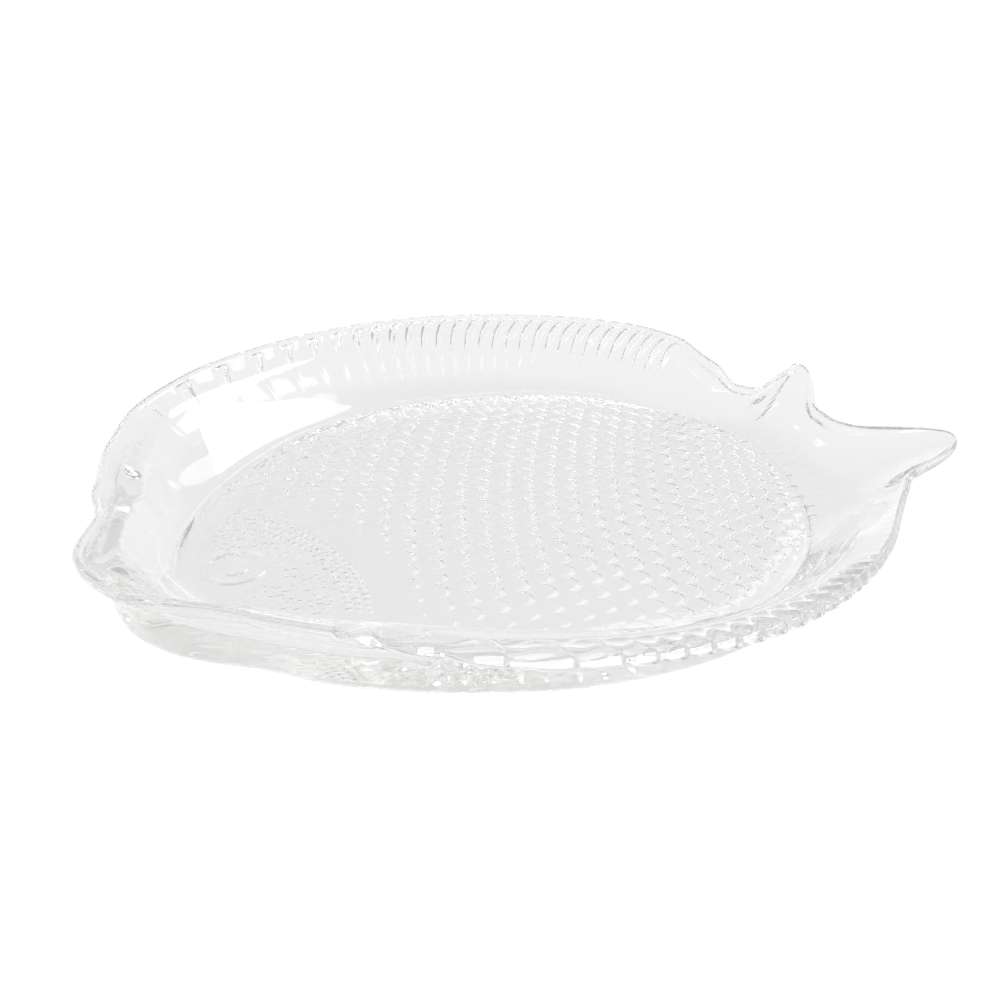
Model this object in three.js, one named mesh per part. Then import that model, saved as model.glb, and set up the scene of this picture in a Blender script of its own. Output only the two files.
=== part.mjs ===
// Fish-shaped serving dish of clear pressed glass, head towards -X, tail towards +X, back fin towards +Y.
// Millimetres, +Z up, standing on Z = 0 with the origin under the middle of its bounding box.
// The real dish is one pressing. Each mesh is one moulded region of it: a flat well floor, and a wall
// and rim cut round the well into lips, cheek, fins and tail lobes with a hairline seam between them.
import * as THREE from 'three';

// Heights above the table
const floorThickness = 5;
const crestHeight = 21.5; // where the wall of the well rolls over into the rim
const rimHeight = 26.5; // outer edge of fins and lips
const mouthHeight = 24;
const finTailHeight = 22; // last of the back fin, as it drops to the tail
const saddleHeight = 15; // dip between the back fin and the tail
const upperTipHeight = 25;
const forkHeight = 17;
const lowerTipHeight = 22;
const notchHeight = 20.5; // between the tail and the belly fin
const ventHeight = 24.5;

// Reach of the flat floor from the middle of the well, at landmarks round the fish
const floorTailReach = 91;
const floorRearReach = 77;
const floorBackReach = 63;
const floorNapeReach = 80;
const floorHeadReach = 98.5;
const floorCheekReach = 80;
const floorBellyReach = 67.5;
const floorVentReach = 87;

// Width of the cove, from the edge of the floor out to the crest of the wall
const tailCove = 19;
const saddleCove = 13.5;
const rearCove = 16.5;
const backCove = 22;
const napeCove = 24.5;
const browCove = 29;
const snoutCove = 20.4;
const lipCove = 11;
const jawCove = 18;
const chinCove = 21.5;
const cheekCove = 17.2;
const bellyFrontCove = 15.7;
const bellyCove = 19.8;
const bellyRearCove = 21;
const ventCove = 20;
const notchCove = 23;

// Margin of the base, from the edge of the floor out to the edge of what stands on the table
const tailMargin = 6;
const saddleMargin = 7;
const rearMargin = 7.5;
const backMargin = 8.5;
const napeMargin = 9.5;
const browMargin = 10;
const snoutMargin = 10;
const lipMargin = 11;
const jawMargin = 23;
const chinMargin = 21.5;
const cheekMargin = 18.2;
const bellyFrontMargin = 18.5;
const bellyMargin = 20;
const bellyRearMargin = 16.5;
const ventMargin = 14;
const notchMargin = 9;

// Width across the rim, from the crest of the wall out to the edge
const upperLobeWidth = 18;
const lobeRootWidth = 8.5;
const saddleWidth = 7;
const finTailWidth = 7;
const finEndWidth = 13;
const finWidth = 16.5;
const browWidth = 14;
const upperLipWidth = 16.5;
const mouthWidth = 12.5;
const jawWidth = 12.2;
const chinWidth = 9.6;
const cheekWidth = 10.2;
const bellyFrontWidth = 11.5;
const bellyWidth = 17;
const bellyRearWidth = 14;
const ventWidth = 12.6;
const notchWidth = 14.4;
const lowerLobeWidth = 36.5;
const forkSideWidth = 11.5;
const forkWidth = 8.5;

// Section through the wall
const wallThickness = 4.6;
const edgeThickness = 4;
const edgeRound = 1.2;
const wallLean = 2.6; // how far the outside of the wall leans out above the base
const baseRound = 2;
const baseBand = 5; // least height of the outer wall above the base
const coveCurve = 2.1; // power of the cove: 1 is a straight ramp
const tailCurve = 1.25;
const rimRise = 3; // least height of the rim's edge over the crest

// Shares of a width or a rise at which the section is followed
const coveShares = [0.3, 0.55, 0.8];
const innerRim = { across: 0.22, up: 0.3, ray: 0.2 };
const outerRim = { across: 0.62, up: 0.68, ray: 1 };
const edgeRayShare = 0.6;
const tailRampShare = 0.45; // height of the tail's ramp where the crest would be
const tailSagShare = 0.06; // the tail's lobes are a little dished
const tailUndercutShare = 0.5;
const shoulderShare = 0.45;
const outerWallShare = 0.8;
const baseRoundShare = 0.6;

// Fin rays, which sweep back towards the tail as they run out to the edge
const rayDepth = 1.6;
const scallopDepth = 1;
const raySweep = 7;
const sweepFade = 12; // degrees over which the sweep grows from each end of a fin
// Taper is each ray's width over that of the one ahead of it. The widest ray is wider than its turn in
// that row by a share of the first ray's width, and some rays beside it are wider too.
const backRays = { count: 32, taper: 0.99, widest: 0, widerShare: 0.8, widerRays: 5 };
const bellyRays = { count: 31, taper: 0.965, widest: 2.4, widerShare: 1.17, widerRays: 1.5 };
const backFinStart = 154; // bearings in degrees, from the tail's side round by the back
const backFinEnd = 22;
const bellyFinStart = 230;
const bellyFinEnd = 333;

// Bearing of the middle of the tail, half its spread, and the fade into the walls beside it
const tailBearing = -8;
const tailSpread = 17;
const tailFade = 20;

// Eye on the head end of the well floor, set in from the floor's edge
const eyeRadius = 9.6;
const eyeHeight = 1.4;
const eyeRingHeight = 1;
const eyeBearing = 192.6;
const eyeMargin = 1.7;
const eyeSides = 28;

// Seam between regions, and how closely curves are followed
const seam = 0.3;
const plainStep = 3; // degrees between sections of smooth rim
const tailStep = 1.6;
const leastStep = 0.35;
const rayShares = [1 / 3, 2 / 3, 1]; // sections across one ray

// Bearings where the regions are cut, besides the start of the belly fin
const forkBearing = 359;
const saddleBearing = 15;
const browBearing = 155;
const mouthBearing = 183.5;
const chinBearing = 209;
const notchBearing = 335;
const backRearCut = 50;
const backMiddleCut = 85;
const backCrownCut = 120;
const bellyFrontCut = 262;
const bellyMiddleCut = 296;

// Landmarks round the flat floor
const floorLandmarks = [
  { bearing: 5, reach: floorTailReach },
  { bearing: 32, reach: floorRearReach },
  { bearing: 84, reach: floorBackReach },
  { bearing: 147, reach: floorNapeReach },
  { bearing: 191, reach: floorHeadReach },
  { bearing: 219, reach: floorCheekReach },
  { bearing: 258, reach: floorBellyReach },
  { bearing: 312, reach: floorVentReach },
];

// Landmarks round the wall: how far the crest and the base stand out from the floor's edge
const wallLandmarks = [
  { bearing: 5, cove: tailCove, margin: tailMargin },
  { bearing: 20, cove: saddleCove, margin: saddleMargin },
  { bearing: 47, cove: rearCove, margin: rearMargin },
  { bearing: 84, cove: backCove, margin: backMargin },
  { bearing: 130, cove: napeCove, margin: napeMargin },
  { bearing: 152, cove: browCove, margin: browMargin },
  { bearing: 167, cove: snoutCove, margin: snoutMargin },
  { bearing: 178, cove: lipCove, margin: lipMargin },
  { bearing: 193.5, cove: jawCove, margin: jawMargin },
  { bearing: 203.5, cove: chinCove, margin: chinMargin },
  { bearing: 217, cove: cheekCove, margin: cheekMargin },
  { bearing: 231, cove: bellyFrontCove, margin: bellyFrontMargin },
  { bearing: 258, cove: bellyCove, margin: bellyMargin },
  { bearing: 285, cove: bellyRearCove, margin: bellyRearMargin },
  { bearing: 312, cove: ventCove, margin: ventMargin },
  { bearing: notchBearing, cove: notchCove, margin: notchMargin },
];

// Landmarks round the rim: width from the crest out to the edge, and height of the edge
const rimLandmarks = [
  { bearing: 9, width: upperLobeWidth, height: upperTipHeight },
  { bearing: 12.3, width: lobeRootWidth, height: saddleHeight },
  { bearing: saddleBearing, width: saddleWidth, height: saddleHeight },
  { bearing: 20, width: finTailWidth, height: finTailHeight },
  { bearing: 32, width: finEndWidth, height: rimHeight },
  { bearing: 47, width: finWidth, height: rimHeight },
  { bearing: 130, width: finWidth, height: rimHeight },
  { bearing: browBearing, width: browWidth, height: rimHeight },
  { bearing: 178, width: upperLipWidth, height: rimHeight },
  { bearing: mouthBearing, width: mouthWidth, height: mouthHeight },
  { bearing: 193.5, width: jawWidth, height: rimHeight },
  { bearing: 203.5, width: chinWidth, height: rimHeight },
  { bearing: 217, width: cheekWidth, height: rimHeight },
  { bearing: 231, width: bellyFrontWidth, height: rimHeight },
  { bearing: 258, width: bellyWidth, height: rimHeight },
  { bearing: 298, width: bellyRearWidth, height: rimHeight },
  { bearing: 312, width: ventWidth, height: ventHeight },
  { bearing: notchBearing, width: notchWidth, height: notchHeight },
  { bearing: 345.5, width: lowerLobeWidth, height: lowerTipHeight },
  { bearing: 353.5, width: forkSideWidth, height: forkHeight },
  { bearing: forkBearing, width: forkWidth, height: forkHeight },
];

const radians = Math.PI / 180;
const turn = 360;
const hair = 1e-6; // two bearings nearer than this are one

function clamp01(value) {
  return Math.min(Math.max(value, 0), 1);
}

function smoothStep(value) {
  const t = clamp01(value);
  return t * t * (3 - 2 * t);
}

// Smooth closed curve through one value of the landmarks. A level curve stays between its landmarks.
function roundCurve(landmarks, key, level) {
  const count = landmarks.length;
  const knot = (i) => {
    const lap = Math.floor(i / count);
    const mark = landmarks[i - lap * count];
    return { at: mark.bearing + lap * turn, value: mark[key] };
  };
  const slope = (i) => {
    const before = knot(i - 1);
    const here = knot(i);
    const after = knot(i + 1);
    const peak = (here.value - before.value) * (after.value - here.value) <= 0;
    return level && peak ? 0 : (after.value - before.value) / (after.at - before.at);
  };
  return (bearing) => {
    const first = landmarks[0].bearing;
    const at = first + ((((bearing - first) % turn) + turn) % turn);
    let i = 0;
    while (knot(i + 1).at <= at) i += 1;
    const a = knot(i);
    const b = knot(i + 1);
    const span = b.at - a.at;
    const t = (at - a.at) / span;
    const t2 = t * t;
    const t3 = t2 * t;
    return (
      (2 * t3 - 3 * t2 + 1) * a.value +
      (t3 - 2 * t2 + t) * span * slope(i) +
      (3 * t2 - 2 * t3) * b.value +
      (t3 - t2) * span * slope(i + 1)
    );
  };
}

const floorReachAt = roundCurve(floorLandmarks, 'reach', false);
const coveAt = roundCurve(wallLandmarks, 'cove', true);
const marginAt = roundCurve(wallLandmarks, 'margin', true);
const rimWidthAt = roundCurve(rimLandmarks, 'width', true);
const rimHeightAt = roundCurve(rimLandmarks, 'height', true);

function crestReachAt(bearing) {
  return floorReachAt(bearing) + coveAt(bearing);
}

function rimReachAt(bearing) {
  return crestReachAt(bearing) + rimWidthAt(bearing);
}

// Bearings of the grooves of one fin, from its head end to its tail end
function grooveBearings(start, end, rays) {
  const sums = [0];
  for (let i = 0; i < rays.count; i += 1) {
    const wider = rays.widerShare * Math.exp(-(((i - rays.widest) / rays.widerRays) ** 2));
    sums.push(sums[i] + rays.taper ** i + wider);
  }
  return sums.map((sum) => start + ((end - start) * sum) / sums[rays.count]);
}

function makeFin(start, end, rays) {
  return { start, end, grooves: grooveBearings(start, end, rays) };
}

const fins = [
  makeFin(backFinStart, backFinEnd, backRays),
  makeFin(bellyFinStart, bellyFinEnd, bellyRays),
];

function finAt(bearing) {
  return fins.find((fin) => {
    const low = Math.min(fin.start, fin.end);
    const high = Math.max(fin.start, fin.end);
    return bearing > low && bearing < high;
  });
}

// 0 in the groove between two rays and 1 on the back of a ray
function rayRise(bearing) {
  const fin = finAt(bearing);
  if (!fin) return 0;
  for (let i = 0; i + 1 < fin.grooves.length; i += 1) {
    const t = (bearing - fin.grooves[i]) / (fin.grooves[i + 1] - fin.grooves[i]);
    if (t >= 0 && t <= 1) return Math.sin(Math.PI * t);
  }
  return 0;
}

// How far the outer edge of the rim is swept towards the tail, in degrees; it fades at the ends of a fin
function sweepAt(bearing) {
  const fin = finAt(bearing);
  if (!fin) return 0;
  const fromEnds = Math.min(Math.abs(bearing - fin.start), Math.abs(bearing - fin.end));
  const fade = smoothStep(fromEnds / sweepFade);
  return (Math.sign(fin.end - fin.start) * fade * raySweep) / rimReachAt(bearing) / radians;
}

// The tail rises from the floor as one long ramp, with no crest
function tailBlend(bearing) {
  const lap = (((bearing - tailBearing + turn / 2) % turn) + turn) % turn;
  return 1 - smoothStep((Math.abs(lap - turn / 2) - tailSpread) / tailFade);
}

// One section through wall and rim at a bearing, as reach, height and swept bearing of each corner,
// from the edge of the floor up the wall, out over the rim and back underneath
function sectionAt(bearing) {
  const tail = tailBlend(bearing);
  const floor = floorReachAt(bearing);
  const crest = crestReachAt(bearing);
  const reach = rimReachAt(bearing);
  const width = reach - crest;
  const edge = rimHeightAt(bearing);
  const ramp = floorThickness + (edge - floorThickness) * tailRampShare;
  const rollOver = Math.min(crestHeight, edge - rimRise);
  const top = rollOver + (ramp - rollOver) * tail;
  const power = coveCurve + (tailCurve - coveCurve) * tail;
  const sink = finAt(bearing) ? 1 - rayRise(bearing) : 0;
  const ray = -sink * rayDepth * (1 - tail);
  const scallop = -sink * scallopDepth;
  const sweep = sweepAt(bearing);
  const corners = [];
  const add = (r, z, share = 0) => corners.push({ r, z, bearing: bearing + sweep * share });

  add(floor, floorThickness);
  for (const share of coveShares) {
    add(floor + (crest - floor) * share, floorThickness + (top - floorThickness) * share ** power);
  }
  add(crest, top);
  for (const point of [innerRim, outerRim]) {
    const up = point.up - tailSagShare * tail;
    add(crest + width * point.across, top + (edge - top) * up + ray * point.ray, point.across);
  }
  add(reach - edgeRound + scallop, edge + ray * edgeRayShare, 1);
  add(reach + scallop, edge - edgeRound, 1);
  add(reach - edgeRound + scallop, edge - edgeThickness, 1);

  const foot = floor + marginAt(bearing);
  const under = Math.max(top - wallThickness, baseBand);
  const outside = Math.max(crest + wallThickness, foot + wallLean);
  const shoulder = outside + (reach - outside) * shoulderShare;
  add(shoulder, (under + edge - edgeThickness) / 2, shoulderShare);
  add(foot + (outside - foot) * (1 - tailUndercutShare * tail), under * outerWallShare);
  add(foot + baseRound * baseRoundShare, baseRound);
  add(foot, 0);
  add(floor, 0);
  return corners;
}

// Closed solid through a row of sections: skin between them and a cap at each end
function loft(bearings) {
  const sections = bearings.map((bearing) => sectionAt(bearing));
  const corners = sections[0].length;
  const position = [];
  for (const section of sections) {
    for (const corner of section) {
      const angle = corner.bearing * radians;
      position.push(corner.r * Math.cos(angle), corner.r * Math.sin(angle), corner.z);
    }
  }
  const index = [];
  for (let s = 0; s + 1 < sections.length; s += 1) {
    for (let c = 0; c < corners; c += 1) {
      const next = (c + 1) % corners;
      const a = s * corners + c;
      const b = s * corners + next;
      const d = (s + 1) * corners + c;
      const e = (s + 1) * corners + next;
      index.push(a, b, d, b, e, d);
    }
  }
  const cap = (s, facing) => {
    const flat = sections[s].map((corner) => new THREE.Vector2(corner.r, corner.z));
    for (const [i, j, k] of THREE.ShapeUtils.triangulateShape(flat, [])) {
      const base = s * corners;
      const turned = THREE.ShapeUtils.area([flat[i], flat[j], flat[k]]) * facing > 0;
      index.push(base + i, base + (turned ? j : k), base + (turned ? k : j));
    }
  };
  cap(0, 1);
  cap(sections.length - 1, -1);
  const geometry = new THREE.BufferGeometry();
  geometry.setAttribute('position', new THREE.Float32BufferAttribute(position, 3));
  geometry.setIndex(index);
  geometry.computeVertexNormals();
  return geometry;
}

// Bearings of the sections of a region: close together on rays and tail, wider on smooth rim
function regionBearings(from, to) {
  const half = seam / 2 / (floorReachAt((from + to) / 2) * radians);
  const start = from + half;
  const end = to - half;
  const inner = [];
  let at = start;
  while (at < end) {
    const fin = finAt(at);
    if (fin) {
      const grooves = [...fin.grooves].sort((a, b) => a - b);
      const i = grooves.findIndex((groove) => groove > at + hair);
      const low = grooves[Math.max(i - 1, 0)];
      const high = grooves[i];
      const marks = rayShares.map((share) => low + (high - low) * share);
      at = marks.find((mark) => mark > at + hair);
    } else {
      at += tailBlend(at) > 0 ? tailStep : plainStep;
    }
    if (at < end) inner.push(at);
  }
  const kept = inner.filter((b) => b - start > leastStep && end - b > leastStep);
  return [start, ...kept, end];
}

const glass = { color: 0xe9ecea, roughness: 0.05, metalness: 0 };

function addMesh(parent, name, geometry) {
  const mesh = new THREE.Mesh(geometry, new THREE.MeshStandardMaterial(glass));
  mesh.name = name;
  parent.add(mesh);
  return mesh;
}

// Regions of wall and rim, in order round the fish, each from the bearing where the last one ends
const regions = [
  { name: 'tail_upper_lobe', to: saddleBearing },
  { name: 'back_fin_rear', to: backRearCut },
  { name: 'back_fin_middle', to: backMiddleCut },
  { name: 'back_fin_crown', to: backCrownCut },
  { name: 'back_fin_front', to: browBearing },
  { name: 'upper_lip', to: mouthBearing },
  { name: 'lower_jaw', to: chinBearing },
  { name: 'cheek', to: bellyFinStart },
  { name: 'belly_fin_front', to: bellyFrontCut },
  { name: 'belly_fin_middle', to: bellyMiddleCut },
  { name: 'belly_fin_rear', to: notchBearing },
  { name: 'tail_lower_lobe', to: forkBearing },
];

const well = new THREE.Group();

let from = forkBearing - turn;
for (const region of regions) {
  addMesh(well, region.name, loft(regionBearings(from, region.to)));
  from = region.to;
}

// Flat floor inside the wall
const floorOutline = new THREE.Shape();
for (let bearing = 0; bearing < turn; bearing += plainStep) {
  const r = floorReachAt(bearing) - seam;
  const x = r * Math.cos(bearing * radians);
  const y = r * Math.sin(bearing * radians);
  if (bearing === 0) floorOutline.moveTo(x, y);
  else floorOutline.lineTo(x, y);
}
const floorPlate = { depth: floorThickness, bevelEnabled: false };
addMesh(well, 'well_floor', new THREE.ExtrudeGeometry(floorOutline, floorPlate));

// Eye: a low ring round a domed pupil, moulded on the floor
const eyeProfile = [
  [0, 0],
  [1, 0],
  [0.88, eyeRingHeight],
  [0.66, eyeRingHeight / 2],
  [0.36, eyeHeight - eyeRingHeight / 4],
  [0, eyeHeight],
].map(([share, height]) => new THREE.Vector2(eyeRadius * share, height));
const eye = addMesh(well, 'eye_boss', new THREE.LatheGeometry(eyeProfile, eyeSides));
const eyeReach = floorReachAt(eyeBearing) - eyeMargin - eyeRadius;
const eyeAngle = eyeBearing * radians;
eye.rotation.x = Math.PI / 2;
eye.position.set(eyeReach * Math.cos(eyeAngle), eyeReach * Math.sin(eyeAngle), floorThickness);

// The origin lies under the middle of the whole dish
const box = new THREE.Box3().setFromObject(well);
const middle = box.getCenter(new THREE.Vector3());
well.position.set(-middle.x, -middle.y, 0);

const dish = new THREE.Group();
dish.name = 'fish_dish';
dish.add(well);

export default dish;
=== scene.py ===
import math

import bpy
import numpy as np
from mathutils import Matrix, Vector


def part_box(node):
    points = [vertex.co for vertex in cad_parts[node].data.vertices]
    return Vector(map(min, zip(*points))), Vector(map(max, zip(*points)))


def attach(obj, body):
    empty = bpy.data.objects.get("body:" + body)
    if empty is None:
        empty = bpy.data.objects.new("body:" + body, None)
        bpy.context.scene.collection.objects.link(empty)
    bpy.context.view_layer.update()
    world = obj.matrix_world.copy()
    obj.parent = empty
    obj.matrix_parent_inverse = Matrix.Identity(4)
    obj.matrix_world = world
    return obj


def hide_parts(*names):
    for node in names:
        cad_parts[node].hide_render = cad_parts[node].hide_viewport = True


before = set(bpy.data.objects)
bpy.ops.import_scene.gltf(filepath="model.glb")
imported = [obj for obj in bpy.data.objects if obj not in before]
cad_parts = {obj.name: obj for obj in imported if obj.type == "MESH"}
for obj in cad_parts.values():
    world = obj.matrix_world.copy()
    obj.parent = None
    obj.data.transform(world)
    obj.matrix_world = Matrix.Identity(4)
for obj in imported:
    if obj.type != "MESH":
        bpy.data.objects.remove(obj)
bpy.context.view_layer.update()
scene = bpy.context.scene
scene.view_settings.view_transform = "Standard"
scene.cycles.max_bounces = 32  # light turns many times inside thick glass
scene.cycles.glossy_bounces = 24
scene.cycles.transmission_bounces = 24
mm = 0.001
print("frame loaded:", len(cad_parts), "regions of the pressing")


# Curves round the fish. Bearings are degrees about the middle of the well, from the tail's side (+X)
# round by the back fin (+Y); sizes are millimetres, close to those of the solids.
def roundCurve(marks, level=False):
    at = np.array([mark[0] for mark in marks], float)
    value = np.array([mark[1] for mark in marks], float)
    before, after = np.roll(value, 1), np.roll(value, -1)
    spanAfter = (np.roll(at, -1) - at) % 360.0
    slope = (after - before) / (spanAfter + np.roll(spanAfter, 1))
    if level:
        slope = np.where((value - before) * (after - value) <= 0.0, 0.0, slope)  # flat at peaks

    def curve(bearing):
        b = at[0] + (np.asarray(bearing, float) - at[0]) % 360.0
        i = np.searchsorted(at, b, side="right") - 1
        j = (i + 1) % len(at)
        span = spanAfter[i]
        t = (b - at[i]) / span
        return (
            (2 * t**3 - 3 * t**2 + 1) * value[i]
            + (t**3 - 2 * t**2 + t) * span * slope[i]
            + (3 * t**2 - 2 * t**3) * value[j]
            + (t**3 - t**2) * span * slope[j]
        )

    return curve


def fadeIn(value, start, end):
    t = np.clip((value - start) / (end - start), 0.0, 1.0)
    return t * t * (3.0 - 2.0 * t)


dish = {
    "floorTop": 5.0, "crest": 21.5, "wall": 4.6, "lean": 2.6, "baseRound": 2.0, "baseBand": 5.0,
    "edge": 4.0, "edgeRound": 1.6, "coveCurve": 2.1, "tailCurve": 1.25, "rimRise": 3.0,
    "tailBearing": -8.0, "tailSpread": 17.0, "tailFade": 20.0, "tailRamp": 0.45, "tailSag": 0.06,
    "meanOver": (-6.0, -3.0, 0.0, 3.0, 6.0), "meanFrom": 0.3,
    "proud": 0.25,  # the finer skin stays this far inside the solids' outline
}
floorMarks = [(5, 91), (32, 77), (84, 63), (147, 80), (191, 98.5), (219, 80), (258, 67.5), (312, 87)]
coveMarks = [
    (5, 19), (20, 13.5), (47, 16.5), (84, 22), (130, 24.5), (152, 29), (167, 20.4), (178, 14), (193.5, 18),
    (203.5, 21.5), (217, 17.2), (231, 15.7), (258, 19.8), (285, 21), (312, 20), (335, 23),
]
marginMarks = [
    (5, 6), (20, 7), (47, 7.5), (84, 8.5), (130, 9.5), (152, 10), (167, 10), (178, 11), (186, 12.5),
    (195, 22.5), (203.5, 21.5), (217, 18.2), (231, 18.5), (258, 20), (285, 16.5), (312, 14), (335, 9),
]
widthMarks = [
    (9, 18), (12.3, 8.5), (15, 7), (20, 7), (32, 13), (47, 16.5), (130, 16.5), (155, 14), (178, 13.5),
    (183.5, 10.2), (193.5, 12.2), (203.5, 9.6), (217, 10.2), (231, 11.5), (258, 17), (298, 14), (312, 12.6),
    (335, 14.4), (345.5, 36.5), (353.5, 11.5), (359, 8.5),
]
heightMarks = [
    (9, 25), (12.3, 15), (15, 15), (20, 22), (32, 26.5), (178, 26.5), (183.5, 24), (193.5, 26.5),
    (298, 26.5), (312, 24.5), (335, 20.5), (345.5, 22), (353.5, 17), (359, 17),
]
steepMarks = [(90, 0), (194, 0), (210, 1), (325, 1), (350, 0)]  # where the outer wall stands up steeply
floorReachAt = roundCurve(floorMarks)
coveAt = roundCurve(coveMarks, level=True)
marginAt = roundCurve(marginMarks, level=True)
steepAt = roundCurve(steepMarks, level=True)
rimWidthAt = roundCurve(widthMarks, level=True)
rimHeightAt = roundCurve(heightMarks, level=True)

eye = {"bearing": 192.6, "margin": 1.7, "radius": 9.6}  # how the solids place the eye
eyeReach = float(floorReachAt(eye["bearing"])) - eye["margin"] - eye["radius"]
eyeLow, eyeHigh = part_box("eye_boss")
eyeAngle = math.radians(eye["bearing"])
wellMiddle = Vector((
    (eyeLow.x + eyeHigh.x) / 2 - eyeReach * mm * math.cos(eyeAngle),
    (eyeLow.y + eyeHigh.y) / 2 - eyeReach * mm * math.sin(eyeAngle),
    0.0,
))


# Fin rays taper towards the tail, and the widest ray stands out of the even taper. Between them are grooves
# in the fin's underside, narrow by the crest and wider towards the edge. Along the belly each ray also steps
# up to its end, like a saw's tooth, and has a steep flat face at the edge.
fins = {
    "back": {"start": 154.0, "end": 22.0, "rays": 32, "taper": 0.99, "widest": 0.0, "wider": 0.8,
             "near": 5.0, "deepest": 2.4, "step": 0.0, "scallop": 0.2, "from": -0.1, "full": 0.6,
             "atEdge": 0.1, "sweep": 7.0, "upright": (80.0, 35.0), "facet": 0.0, "calm": (34.0, 24.0)},
    "belly": {"start": 230.0, "end": 333.0, "rays": 31, "taper": 0.965, "widest": 2.4, "wider": 1.17,
              "near": 1.5, "deepest": 1.0, "step": 2.2, "scallop": 0.4, "from": 0.5, "full": 0.95,
              "atEdge": 0.6, "sweep": 6.0, "upright": (290.0, 320.0), "facet": 1.0, "calm": (299.0, 312.0)},
}
grooves = {"depthShare": 0.3, "widthShare": 0.26, "widest": 2.2, "innerShare": 0.3, "edgeFrom": 0.9,
           "wideRay": (6.5, 10.0), "shorter": 0.2, "calmed": 0.95, "endFade": 1.0}
steps = {"share": 0.2, "rise": (0.0, 0.8), "drop": (0.86, 1.0), "from": 0.45}  # along a ray's top
sweeps = {"endFade": 12.0, "upright": 0.5}
facet = {"deep": 1.9, "endFade": 4.0,
         "at": (0.0, 0.1, 0.7, 0.88, 1.0), "out": (0.0, 0.25, 0.98, 0.94, 0.5)}  # shares of the edge


def grooveBearings(fin):
    i = np.arange(fin["rays"])
    widths = fin["taper"] ** i + fin["wider"] * np.exp(-(((i - fin["widest"]) / fin["near"]) ** 2))
    share = np.concatenate([[0.0], np.cumsum(widths)]) / widths.sum()
    return np.sort(fin["start"] + (fin["end"] - fin["start"]) * share)


def rayFacts(bearing, reach):
    keys = ("deep", "away", "half", "step", "pull", "sweep", "from", "full", "atEdge", "facet")
    facts = {key: np.zeros_like(bearing) for key in keys}
    facts["half"] += 1.0
    facts["full"] += 1.0
    for fin in fins.values():
        lines = grooveBearings(fin)
        ends = np.minimum(bearing - lines[0], lines[-1] - bearing)
        i = np.clip(np.searchsorted(lines, bearing, side="right") - 1, 0, fin["rays"] - 1)
        t = np.clip((bearing - lines[i]) / (lines[i + 1] - lines[i]), 0.0, 1.0)
        wide = np.radians(lines[i + 1] - lines[i]) * reach
        calm = fadeIn(bearing, *fin["calm"])  # rays grow faint by the tail
        short = grooves["shorter"] * np.maximum(fadeIn(wide, *grooves["wideRay"]), calm)
        strength = (1.0 - grooves["calmed"] * calm) * fadeIn(ends, 0.0, grooves["endFade"])
        lowered = np.maximum(1.0 - fadeIn(t, *steps["rise"]), fadeIn(t, *steps["drop"]))
        towards = np.sign(fin["end"] - fin["start"])
        own = {
            "deep": np.minimum(grooves["depthShare"] * wide, fin["deepest"]) * strength,
            "away": np.minimum(t, 1.0 - t) * wide,
            "half": np.minimum(grooves["widthShare"] * wide, grooves["widest"]),
            "step": np.minimum(steps["share"] * wide, fin["step"]) * strength * lowered,
            "pull": fin["scallop"] * (1.0 - np.sin(np.pi * t)) * strength,
            "sweep": towards * fin["sweep"] * fadeIn(ends, 0.0, sweeps["endFade"]),
            "from": fin["from"] + short,
            "full": fin["full"] + short,
            "atEdge": fin["atEdge"],
            "facet": fin["facet"] * fadeIn(ends, 0.0, facet["endFade"]),
        }
        own["sweep"] *= 1.0 - sweeps["upright"] * fadeIn(bearing, *fin["upright"])
        for key, value in own.items():
            facts[key] = np.where(ends > 0.0, value, facts[key])
    return facts


def rayStep(rays, across):
    return rays["step"] * fadeIn(across, steps["from"], 1.0)


def rayGroove(rays, across):
    half = rays["half"] * (grooves["innerShare"] + (1.0 - grooves["innerShare"]) * np.clip(across, 0.0, 1.0))
    sink = rays["deep"] * np.exp(-((rays["away"] / half) ** 2)) * fadeIn(across, rays["from"], rays["full"])
    return sink * (1.0 - (1.0 - rays["atEdge"]) * fadeIn(across, grooves["edgeFrom"], 1.0))


def tailBlend(bearing):
    away = np.abs((bearing - dish["tailBearing"] + 180.0) % 360.0 - 180.0)
    return 1.0 - fadeIn(away, dish["tailSpread"], dish["tailSpread"] + dish["tailFade"])


# Relief: scales, gill, eye, grain of the head and crease of the tail, all as heights in millimetres
scales = {"turn": 17.0, "first": 4.3, "column": 7.6, "shrink": 0.15, "pitch": 6.3, "bow": 0.002,
          "curve": 4.3, "height": 0.75, "edge": 0.12, "softer": 6.0, "dome": 0.15, "rise": 0.8,
          "fromGill": (6.0, 36.0), "climb": (2.0, 7.0), "climbTail": (8.0, 12.0),
          "faint": 0.85, "faintX": (15.0, 50.0), "faintY": (-66.0, -34.0)}  # few scales behind the cheek
gill = {"x": -109.5, "y": -41.3, "radius": 52.0, "rows": 3, "rowStep": 2.7, "dotStep": 2.5, "dot": 1.05,
        "height": 0.35, "from": -8.0, "to": 62.0, "startFade": 6.0, "endFade": 12.0, "climb": (1.0, 6.0)}
eyeForm = {"x": -87.0, "y": -18.5, "halfLength": 10.3, "halfWidth": 8.5, "turn": -17.0, "ring": 0.84,
           "ringWidth": 0.13, "ringHeight": 0.6, "pupil": 0.45, "pupilHeight": 0.7, "climb": (0.2, 0.5)}
tailCrease = {"from": (103.0, 9.8), "to": (121.0, 19.6), "deep": 1.7, "half": 0.8, "startFade": 5.0,
              "endFade": 2.0}  # on the upper lobe
grain = {"cell": 2.1, "dot": 1.0, "least": 0.6, "height": 0.24, "seed": 7, "x": -103.0, "y": -24.0,
         "radius": 50.0, "fade": 8.0, "pastEye": (1.0, 1.15), "climb": (-5.0, 0.0)}


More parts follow.
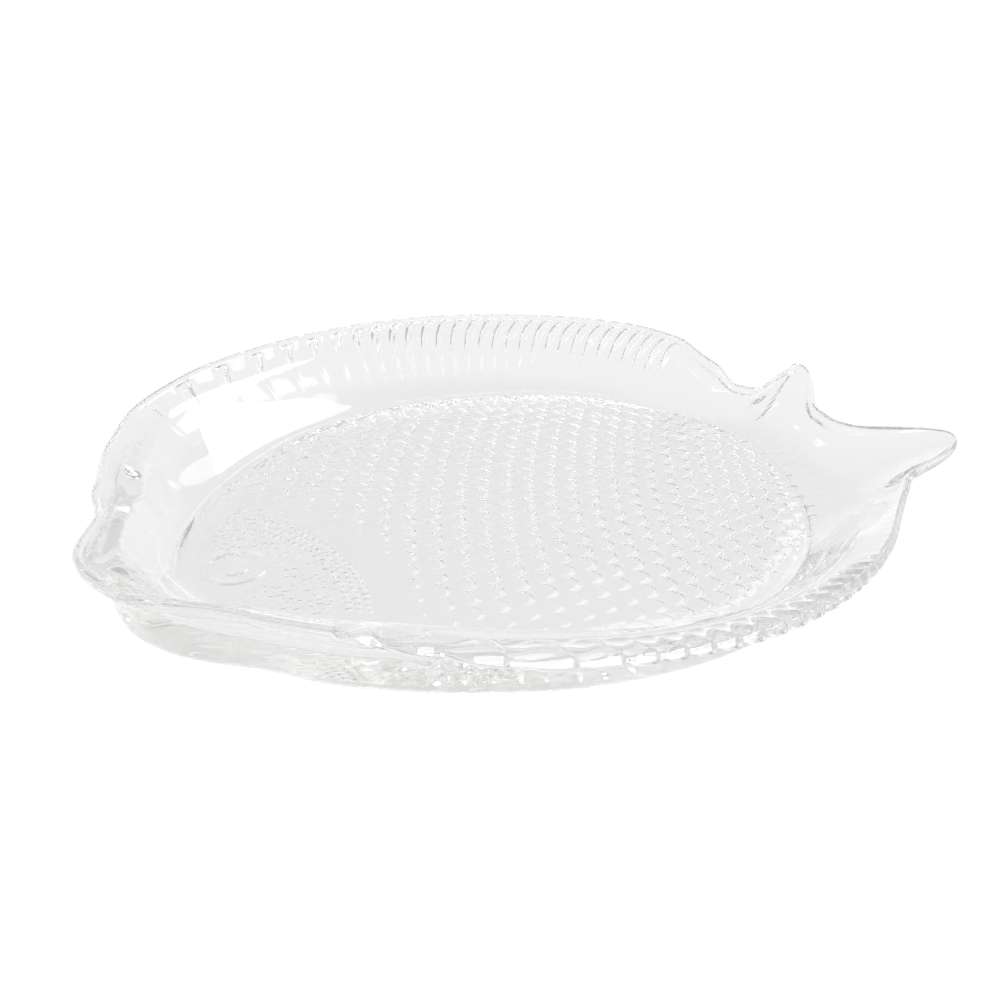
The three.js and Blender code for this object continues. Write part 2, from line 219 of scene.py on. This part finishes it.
def scaleRelief(x, y):
    a = math.radians(scales["turn"])
    along = x * math.cos(a) - y * math.sin(a)
    across = x * math.sin(a) + y * math.cos(a)
    along = along - scales["bow"] * across**2 - scales["first"]
    wide, shrink = scales["column"], scales["shrink"]
    column = (wide - np.sqrt(wide**2 - 2.0 * shrink * along)) / shrink  # columns narrow to the tail

    def offCentre(k):
        pitch = scales["pitch"]
        return ((across / pitch - 0.5 * (k % 2) + 0.5) % 1.0 - 0.5) * pitch / scales["curve"]

    def freeEdge(k):
        return k + np.sqrt(1.0 - offCentre(k) ** 2)

    k = np.floor(column)
    here, ahead, behind = freeEdge(k), freeEdge(k - 1), freeEdge(k + 1)
    own = column <= here
    high = np.where(own, here, behind)
    low = np.where(own, ahead, here)
    t = np.clip((column - low) / (high - low), 0.0, 1.0)
    offSide = np.where(own, offCentre(k), offCentre(k + 1)) ** 2
    lip = fadeIn(high - column, 0.0, scales["edge"] * (1.0 + scales["softer"] * offSide))  # sharp at the tip
    return scales["height"] * t ** scales["rise"] * lip * (1.0 - scales["dome"] * offSide)


def gillDistance(x, y):
    return np.hypot(x - gill["x"], y - gill["y"]) - gill["radius"]


def gillRelief(x, y):
    out = gillDistance(x, y)
    angle = np.degrees(np.arctan2(y - gill["y"], x - gill["x"]))
    row = np.clip(np.round(out / gill["rowStep"]), 0, gill["rows"] - 1)
    reach = gill["radius"] + row * gill["rowStep"]
    arc = np.radians(angle) * reach
    slide = arc / gill["dotStep"] - 0.5 * (row % 2)
    away = np.hypot((slide - np.round(slide)) * gill["dotStep"], out - row * gill["rowStep"])
    ends = fadeIn(angle, gill["from"], gill["from"] + gill["startFade"])
    ends = ends * (1.0 - fadeIn(angle, gill["to"] - gill["endFade"], gill["to"]))
    return gill["height"] * np.sqrt(np.maximum(1.0 - (away / gill["dot"]) ** 2, 0.0)) * ends


def eyeShare(x, y):
    a = math.radians(eyeForm["turn"])
    dx, dy = x - eyeForm["x"], y - eyeForm["y"]
    along = dx * math.cos(a) + dy * math.sin(a)
    across = dy * math.cos(a) - dx * math.sin(a)
    return np.hypot(along / eyeForm["halfLength"], across / eyeForm["halfWidth"])


def eyeRelief(x, y):
    e = eyeShare(x, y)
    ring = eyeForm["ringHeight"] * np.exp(-(((e - eyeForm["ring"]) / eyeForm["ringWidth"]) ** 2))
    pupil = eyeForm["pupilHeight"] * np.sqrt(np.maximum(1.0 - (e / eyeForm["pupil"]) ** 2, 0.0))
    return ring + pupil


def cellHash(ix, iy, salt):  # the same share of one for a cell on every run
    n = (ix.astype(np.int64) * 73856093) ^ (iy.astype(np.int64) * 19349663) ^ (salt * 83492791)
    n = (n ^ (n >> 13)) * 1274126177
    return ((n ^ (n >> 16)) & 0xFFFF) / 65535.0


def grainRelief(x, y):
    cx, cy = np.floor(x / grain["cell"]), np.floor(y / grain["cell"])
    best = np.zeros_like(x)
    for dx in (-1, 0, 1):
        for dy in (-1, 0, 1):
            ix, iy = cx + dx, cy + dy
            px = (ix + cellHash(ix, iy, grain["seed"])) * grain["cell"]
            py = (iy + cellHash(ix, iy, grain["seed"] + 1)) * grain["cell"]
            size = cellHash(ix, iy, grain["seed"] + 2)
            size = grain["dot"] * (grain["least"] + (1.0 - grain["least"]) * size)
            away = np.hypot(x - px, y - py) / size
            best = np.maximum(best, np.sqrt(np.maximum(1.0 - away**2, 0.0)))
    return grain["height"] * best


def creaseRelief(x, y):
    start, end = np.array(tailCrease["from"]), np.array(tailCrease["to"])
    length = np.linalg.norm(end - start)
    wayX, wayY = (end - start) / length
    along = (x - start[0]) * wayX + (y - start[1]) * wayY
    across = (y - start[1]) * wayX - (x - start[0]) * wayY
    ends = fadeIn(along, 0.0, tailCrease["startFade"])
    ends = ends * (1.0 - fadeIn(along, length - tailCrease["endFade"], length))
    return tailCrease["deep"] * np.exp(-((across / tailCrease["half"]) ** 2)) * ends


def topRelief(x, y, coveShare):
    return eyeRelief(x, y) * (1.0 - fadeIn(coveShare, *eyeForm["climb"]))


# The pattern is pressed into the underside, so the glass that holds the food stays smooth
def underRelief(x, y, bearing, pastFloor):
    tail = tailBlend(bearing)
    out = gillDistance(x, y)
    start, end = (scales["climb"][i] + scales["climbTail"][i] * tail for i in (0, 1))
    climb = 1.0 - fadeIn(pastFloor, start, end)
    faint = (1.0 - fadeIn(y, *scales["faintY"])) * (1.0 - fadeIn(x, *scales["faintX"]))
    body = fadeIn(out, *scales["fromGill"]) * climb * (1.0 - scales["faint"] * faint)
    level = 1.0 - fadeIn(pastFloor, *gill["climb"])
    headward = grain["radius"] - np.hypot(x - grain["x"], y - grain["y"])
    skin = fadeIn(headward, 0.0, grain["fade"]) * fadeIn(eyeShare(x, y), *grain["pastEye"])
    skin = skin * (1.0 - fadeIn(pastFloor, *grain["climb"]))
    relief = scaleRelief(x, y) * body
    relief = relief + gillRelief(x, y) * level + creaseRelief(x, y)
    return relief + grainRelief(x, y) * skin


# One skin for the whole pressing: a square net over the floor, then rings out over the wall and rim,
# round the edge, back underneath and down to the base
net = {"floor": 360, "cove": 28, "rim": 26, "edge": 14, "smooth": 5, "corners": 2, "baseIn": 3.0}
rimForm = {"at": (0.0, 0.22, 0.62, 1.0), "rise": (0.0, 0.3, 0.68, 1.0), "swing": 1.3, "pullFrom": 0.6}
underForm = {"shoulder": 0.45, "outsideHeight": 0.8, "tailTuck": 0.5, "hip": 1.5, "flank": 0.4,
             "baseOut": 0.6, "pull": 0.4, "swing": 0.45}


def floorNet(n):
    line = np.linspace(-1.0, 1.0, n + 1)
    u, v = np.meshgrid(line, line)
    x = u * np.sqrt(1.0 - v**2 / 2.0)
    y = v * np.sqrt(1.0 - u**2 / 2.0)
    index = np.arange((n + 1) ** 2).reshape(n + 1, n + 1)
    rim = np.concatenate([index[:-1, -1], index[-1, :0:-1], index[:0:-1, 0], index[0, :-1]])
    quads = np.stack([index[:-1, :-1], index[:-1, 1:], index[1:, 1:], index[1:, :-1]], -1).reshape(-1, 4)
    share = np.hypot(x, y).ravel()
    bearing = np.degrees(np.arctan2(y, x)).ravel() % 360.0
    return share, bearing, rim, quads


def softenRows(rows, passes):
    for _ in range(passes):
        rows[1:-1] = (rows[:-2] + 2.0 * rows[1:-1] + rows[2:]) / 4.0
    return rows


def cutCorners(points, passes):
    for _ in range(passes):
        near = 0.75 * points[:-1] + 0.25 * points[1:]
        far = 0.25 * points[:-1] + 0.75 * points[1:]
        both = np.stack([near, far], 1).reshape(-1, *points.shape[1:])
        points = np.concatenate([points[:1], both, points[-1:]])
    return points


def dishRings(bearing):
    tail = tailBlend(bearing)
    floor = floorReachAt(bearing)
    crest = floor + coveAt(bearing)
    reach = crest + rimWidthAt(bearing) - dish["proud"]
    rays = rayFacts(bearing, reach)
    edge = rimHeightAt(bearing)
    mean = sum(rimHeightAt(bearing + aside) for aside in dish["meanOver"]) / len(dish["meanOver"])
    gentle = fadeIn(tail, 0.0, dish["meanFrom"])  # the tail's valleys are gentler than its edge
    calmEdge = edge + (mean - edge) * gentle
    ramp = dish["floorTop"] + (calmEdge - dish["floorTop"]) * dish["tailRamp"]
    rollOver = np.minimum(dish["crest"], calmEdge - dish["rimRise"])
    top = rollOver + (ramp - rollOver) * tail
    power = dish["coveCurve"] + (dish["tailCurve"] - dish["coveCurve"]) * tail
    turned = np.degrees(rays["sweep"] / reach)

    # Upper side, from the floor's edge to where the rim's edge starts to round
    coveShare = np.linspace(0.0, 1.0, net["cove"] + 1)[:, None]
    rimShare = np.linspace(0.0, 1.0, net["rim"] + 1)[1:, None]
    edgeOut = dish["edgeRound"] + (facet["deep"] - dish["edgeRound"]) * rays["facet"]
    outer = reach - edgeOut
    coveR = floor + (crest - floor) * coveShare
    coveZ = dish["floorTop"] + (top - dish["floorTop"]) * coveShare**power
    rise = np.interp(rimShare, rimForm["at"], rimForm["rise"])
    sag = dish["tailSag"] * tail * 4.0 * rimShare * (1.0 - rimShare)
    rimR = crest + (outer - crest) * rimShare
    rimZ = top + (edge - top) * (rise - sag)
    r = np.concatenate([coveR, rimR])
    z = softenRows(np.concatenate([coveZ, rimZ]), net["smooth"])
    across = (r - crest) / (outer - crest)
    z = z - rayStep(rays, across) * (1.0 - tail)
    swing = np.clip(across, 0.0, 1.0) ** rimForm["swing"] * turned
    pull = rays["pull"]
    r = r - pull * fadeIn(across, rimForm["pullFrom"], 1.0)
    angle = bearing + swing
    x, y = r * np.cos(np.radians(angle)), r * np.sin(np.radians(angle))
    z = z + topRelief(x, y, np.clip((r - floor) / (crest - floor), 0.0, 2.0))

    # Edge of the rim: round, but with a steep flat face along the belly fin
    turn = np.linspace(0.0, 1.0, net["edge"] + 1)[1:, None]
    sink = rayStep(rays, np.ones_like(bearing)) * (1.0 - tail)
    half = dish["edge"] / 2.0
    roundOut = np.sin(np.pi * turn)
    roundDown = half - half * np.cos(np.pi * turn)
    faceOut = np.interp(turn, facet["at"], facet["out"])
    faceOut = faceOut * (1.0 - sink / dish["edge"])  # so that the face keeps its slope on a low ray
    faceDown = dish["edge"] * turn
    edgeR = outer - pull + edgeOut * (roundOut + (faceOut - roundOut) * rays["facet"])
    edgeZ = edge - roundDown - (faceDown - roundDown) * rays["facet"] - sink * (1.0 - turn)

    # Underside of the rim, outer wall and base
    foot = floor + marginAt(bearing)
    under = np.maximum(top - dish["wall"], dish["baseBand"])
    outside = np.maximum(crest + dish["wall"], foot + dish["lean"])
    shoulder = outside + (reach - outside) * underForm["shoulder"]
    shoulderZ = (under + edge - dish["edge"]) / 2.0
    outside = foot + (outside - foot) * (1.0 - underForm["tailTuck"] * tail)
    outsideZ = under * underForm["outsideHeight"]
    steep = steepAt(bearing)
    hip = np.maximum(crest + underForm["hip"], foot + dish["lean"])
    flank = np.maximum((crest + outer) / 2.0, hip + underForm["flank"] * (outer - hip))

    def belowTop(at):
        return top + (edge - top) * (at - crest) / (outer - crest) - dish["wall"]

    shoulder = shoulder + (flank - shoulder) * steep
    shoulderZ = shoulderZ + (belowTop(flank) - shoulderZ) * steep
    outside = outside + (hip - outside) * steep
    outsideZ = outsideZ + (belowTop(hip) - outsideZ) * steep
    none = np.zeros_like(foot)
    lowR = [edgeR[-1], shoulder - underForm["pull"] * pull, outside,
            foot + dish["baseRound"] * underForm["baseOut"], foot, foot - net["baseIn"]]
    lowZ = [edgeZ[-1], shoulderZ, outsideZ, none + dish["baseRound"], none, none]
    lowTurn = [turned, underForm["swing"] * turned, none, none, none, none]
    low = np.stack([np.stack(lowR), np.stack(lowZ), bearing + np.stack(lowTurn)], -1)
    low = cutCorners(low, net["corners"])[1:]
    low[:, :, 1] += rayGroove(rays, (low[:, :, 0] - crest) / (outer - crest)) * (1.0 - tail)
    lowX = low[:, :, 0] * np.cos(np.radians(low[:, :, 2]))
    lowY = low[:, :, 0] * np.sin(np.radians(low[:, :, 2]))
    low[:, :, 1] += underRelief(lowX, lowY, np.broadcast_to(bearing, lowX.shape), low[:, :, 0] - floor)

    ringR = np.concatenate([r, edgeR, low[:, :, 0]])
    ringZ = np.concatenate([z, edgeZ, low[:, :, 1]])
    ringAngle = np.concatenate([angle, np.broadcast_to(bearing + turned, edgeR.shape), low[:, :, 2]])
    return ringR, ringZ, ringAngle


def makeGlass(name):
    share, bearing, rim, quads = floorNet(net["floor"])
    reach = floorReachAt(bearing) * share
    x, y = reach * np.cos(np.radians(bearing)), reach * np.sin(np.radians(bearing))
    z = dish["floorTop"] + topRelief(x, y, np.zeros_like(x))
    points = [np.stack([x, y, z], -1)]
    ringR, ringZ, ringAngle = dishRings(bearing[rim])
    count = len(rim)
    rings = [rim]
    start = len(x)
    for k in range(1, len(ringR)):  # ring 0 is the floor's own edge
        a = np.radians(ringAngle[k])
        points.append(np.stack([ringR[k] * np.cos(a), ringR[k] * np.sin(a), ringZ[k]], -1))
        rings.append(np.arange(start, start + count))
        start += count
    faces = [quads]
    for inner, outer in zip(rings, rings[1:]):
        faces.append(np.stack([inner, outer, np.roll(outer, -1), np.roll(inner, -1)], -1))

    # Patterned underside within the foot: the floor's net again, turned to face down
    foot = floorReachAt(bearing) + marginAt(bearing)
    reach = (foot - net["baseIn"]) * share
    x, y = reach * np.cos(np.radians(bearing)), reach * np.sin(np.radians(bearing))
    inside = np.ones(len(x), bool)
    inside[rim] = False
    pastFloor = reach - floorReachAt(bearing)
    points.append(np.stack([x, y, underRelief(x, y, bearing, pastFloor)], -1)[inside])
    index = np.empty(len(x), int)
    index[rim] = rings[-1]
    index[inside] = np.arange(start, start + inside.sum())
    faces.append(index[faces[0]][:, ::-1])
    quads = np.concatenate(faces)
    points = np.concatenate(points) * mm + np.array(wellMiddle)

    mesh = bpy.data.meshes.new(name)
    loops = quads.ravel()
    starts = np.arange(len(quads)) * 4
    mesh.vertices.add(len(points))
    mesh.vertices.foreach_set("co", points.astype(np.float32).ravel())
    mesh.loops.add(len(loops))
    mesh.loops.foreach_set("vertex_index", loops.astype(np.int32))
    mesh.polygons.add(len(starts))
    mesh.polygons.foreach_set("loop_start", starts.astype(np.int32))
    mesh.polygons.foreach_set("use_smooth", np.ones(len(starts), bool))
    mesh.update(calc_edges=True)
    mesh.validate()
    glass = bpy.data.objects.new(name, mesh)
    scene.collection.objects.link(glass)
    return glass


def nodeMaker(tree):
    def make(kind, **values):
        node = tree.nodes.new(kind)
        for key, value in values.items():
            setattr(node, key, value)
        return node

    return make


# Ripple that a mould leaves in pressed glass: broad waves and a fine orange peel
def mouldRippleGroup():
    group = bpy.data.node_groups.new("mouldRipple", "ShaderNodeTree")
    for name, value in (("Wave Size", 90.0), ("Peel Size", 900.0), ("Peel Share", 0.1)):
        socket = group.interface.new_socket(name, in_out="INPUT", socket_type="NodeSocketFloat")
        socket.default_value = value
    group.interface.new_socket("Height", in_out="OUTPUT", socket_type="NodeSocketFloat")
    make = nodeMaker(group)
    given, put = make("NodeGroupInput"), make("NodeGroupOutput")
    place = make("ShaderNodeTexCoord")
    wave, peel = make("ShaderNodeTexNoise"), make("ShaderNodeTexNoise")
    wave.inputs["Detail"].default_value = 1.5
    peel.inputs["Detail"].default_value = 2.0
    part = make("ShaderNodeMath", operation="MULTIPLY")
    both = make("ShaderNodeMath", operation="ADD")
    link = group.links.new
    for noise, size in ((wave, "Wave Size"), (peel, "Peel Size")):
        link(place.outputs["Object"], noise.inputs["Vector"])
        link(given.outputs[size], noise.inputs["Scale"])
    link(peel.outputs["Fac"], part.inputs[0])
    link(given.outputs["Peel Share"], part.inputs[1])
    link(wave.outputs["Fac"], both.inputs[0])
    link(part.outputs[0], both.inputs[1])
    link(both.outputs[0], put.inputs["Height"])
    return group


glassLook = {"colour": (0.872, 0.871, 0.869, 1.0), "ior": 1.5, "rough": (0.015, 0.05),
             "roughOver": (0.4, 1.0), "ripple": 0.05, "rippleHeight": 1.0,
             "tint": (0.90, 0.902, 0.892, 1.0), "tintDensity": 8.0}


def clearGlass():
    material = bpy.data.materials.new("clearPressedGlass")
    material.use_nodes = True
    tree = material.node_tree
    make, link = nodeMaker(tree), tree.links.new
    shader = tree.nodes["Principled BSDF"]
    shader.inputs["Base Color"].default_value = glassLook["colour"]
    shader.inputs["IOR"].default_value = glassLook["ior"]
    shader.inputs["Transmission Weight"].default_value = 1.0
    ripple = make("ShaderNodeGroup", node_tree=mouldRippleGroup())
    bump = make("ShaderNodeBump")
    bump.inputs["Strength"].default_value = glassLook["ripple"]
    bump.inputs["Distance"].default_value = glassLook["rippleHeight"] * mm
    rough = make("ShaderNodeMapRange")
    rough.inputs["From Min"].default_value = glassLook["roughOver"][0]
    rough.inputs["From Max"].default_value = glassLook["roughOver"][1]
    rough.inputs["To Min"].default_value = glassLook["rough"][0]
    rough.inputs["To Max"].default_value = glassLook["rough"][1]
    link(ripple.outputs["Height"], bump.inputs["Height"])
    link(bump.outputs["Normal"], shader.inputs["Normal"])
    link(ripple.outputs["Height"], rough.inputs["Value"])
    link(rough.outputs["Result"], shader.inputs["Roughness"])
    tint = make("ShaderNodeVolumeAbsorption")
    tint.inputs["Color"].default_value = glassLook["tint"]
    tint.inputs["Density"].default_value = glassLook["tintDensity"]
    link(tint.outputs["Volume"], tree.nodes["Material Output"].inputs["Volume"])
    return material


glass = makeGlass("fish_dish_glass")
glass.data.materials.append(clearGlass())
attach(glass, "root")
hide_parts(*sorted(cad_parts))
print("glass made:", len(glass.data.polygons), "faces")


# Plain pale table; what sees it directly or by way of glass gets it white, less the dish's shadow
table = {"size": 14.0, "below": 0.0004, "colour": (0.18, 0.18, 0.18, 1.0), "glow": 0.88}


def seenByEye(make, link):
    path = make("ShaderNodeLightPath")
    one = make("ShaderNodeMath", operation="MAXIMUM")
    two = make("ShaderNodeMath", operation="MAXIMUM")
    link(path.outputs["Is Camera Ray"], one.inputs[0])
    link(path.outputs["Is Glossy Ray"], one.inputs[1])
    link(one.outputs[0], two.inputs[0])
    link(path.outputs["Is Transmission Ray"], two.inputs[1])
    return two.outputs[0]


def makeTable():
    mesh = bpy.data.meshes.new("table")
    h = table["size"] / 2
    corners = [(-h, -h, 0), (h, -h, 0), (h, h, 0), (-h, h, 0)]
    mesh.from_pydata(corners, [], [(0, 1, 2, 3)])
    top = bpy.data.objects.new("table", mesh)
    top.location.z = -table["below"]
    scene.collection.objects.link(top)
    material = bpy.data.materials.new("paleTable")
    material.use_nodes = True
    tree = material.node_tree
    tree.nodes.remove(tree.nodes["Principled BSDF"])
    make, link = nodeMaker(tree), tree.links.new
    plain = make("ShaderNodeBsdfDiffuse")
    plain.inputs["Color"].default_value = table["colour"]
    glow = make("ShaderNodeEmission")
    amount = make("ShaderNodeMath", operation="MULTIPLY")
    amount.inputs[1].default_value = table["glow"]
    link(seenByEye(make, link), amount.inputs[0])
    link(amount.outputs[0], glow.inputs["Strength"])
    both = make("ShaderNodeAddShader")
    link(plain.outputs[0], both.inputs[0])
    link(glow.outputs[0], both.inputs[1])
    link(both.outputs[0], tree.nodes["Material Output"].inputs["Surface"])
    mesh.materials.append(material)


makeTable()
print("table laid")


# Studio: a grey room, brightest at the horizon, one broad softbox and a low strip in front
room = {"low": 1.3, "middle": 0.55, "high": 0.6, "lowAt": 0.0, "middleAt": 0.45, "highAt": 0.9}
softboxes = [
    {"name": "keyRight", "from": (0.5185, 0.2095, 0.829), "away": 3.0, "size": (2.9, 1.6), "radiance": 3.5},
    {"name": "frontStrip", "from": (-0.17, -0.985, 0.3), "away": 1.2, "size": (2.0, 0.3), "radiance": 6.0},
]


def makeRoom():
    world = bpy.data.worlds.new("studio")
    scene.world = world
    world.use_nodes = True
    tree = world.node_tree
    make, link = nodeMaker(tree), tree.links.new
    place = make("ShaderNodeTexCoord")
    split = make("ShaderNodeSeparateXYZ")
    ramp = make("ShaderNodeValToRGB")
    stops = ramp.color_ramp.elements
    stops[0].position, stops[1].position = room["lowAt"], room["highAt"]
    middle = stops.new(room["middleAt"])
    for stop, grey in ((stops[0], room["low"]), (middle, room["middle"]), (stops[-1], room["high"])):
        stop.color = (grey, grey, grey, 1.0)
    link(place.outputs["Generated"], split.inputs[0])
    link(split.outputs["Z"], ramp.inputs["Fac"])
    link(ramp.outputs["Color"], tree.nodes["Background"].inputs["Color"])


def makeSoftbox(box):
    light = bpy.data.lights.new(box["name"], "AREA")
    light.shape = "ELLIPSE"
    light.size, light.size_y = box["size"]
    area = math.pi * light.size * light.size_y / 4.0
    light.energy = box["radiance"] * math.pi * area
    lamp = bpy.data.objects.new(box["name"], light)
    way = Vector(box["from"]).normalized()
    lamp.location = wellMiddle + way * box["away"]
    lamp.rotation_euler = way.to_track_quat("Z", "Y").to_euler()
    scene.collection.objects.link(lamp)


makeRoom()
for box in softboxes:
    makeSoftbox(box)
print("studio lit")


# Camera at the photograph's place: the well's middle is in the middle of the square picture
view = {"azimuth": -17.0, "elevation": 34.0, "away": 0.290, "lens": 30.96, "sensor": 36.0,
        "clip": (0.01, 50.0)}


def makeCamera():
    data = bpy.data.cameras.new("camera")
    data.lens, data.sensor_width = view["lens"], view["sensor"]
    data.clip_start, data.clip_end = view["clip"]
    camera = bpy.data.objects.new("camera", data)
    a, e = math.radians(view["azimuth"]), math.radians(view["elevation"])
    back = Vector((math.sin(a) * math.cos(e), -math.cos(a) * math.cos(e), math.sin(e)))
    camera.location = wellMiddle + back * view["away"]
    camera.rotation_euler = back.to_track_quat("Z", "Y").to_euler()
    scene.collection.objects.link(camera)
    scene.camera = camera


makeCamera()
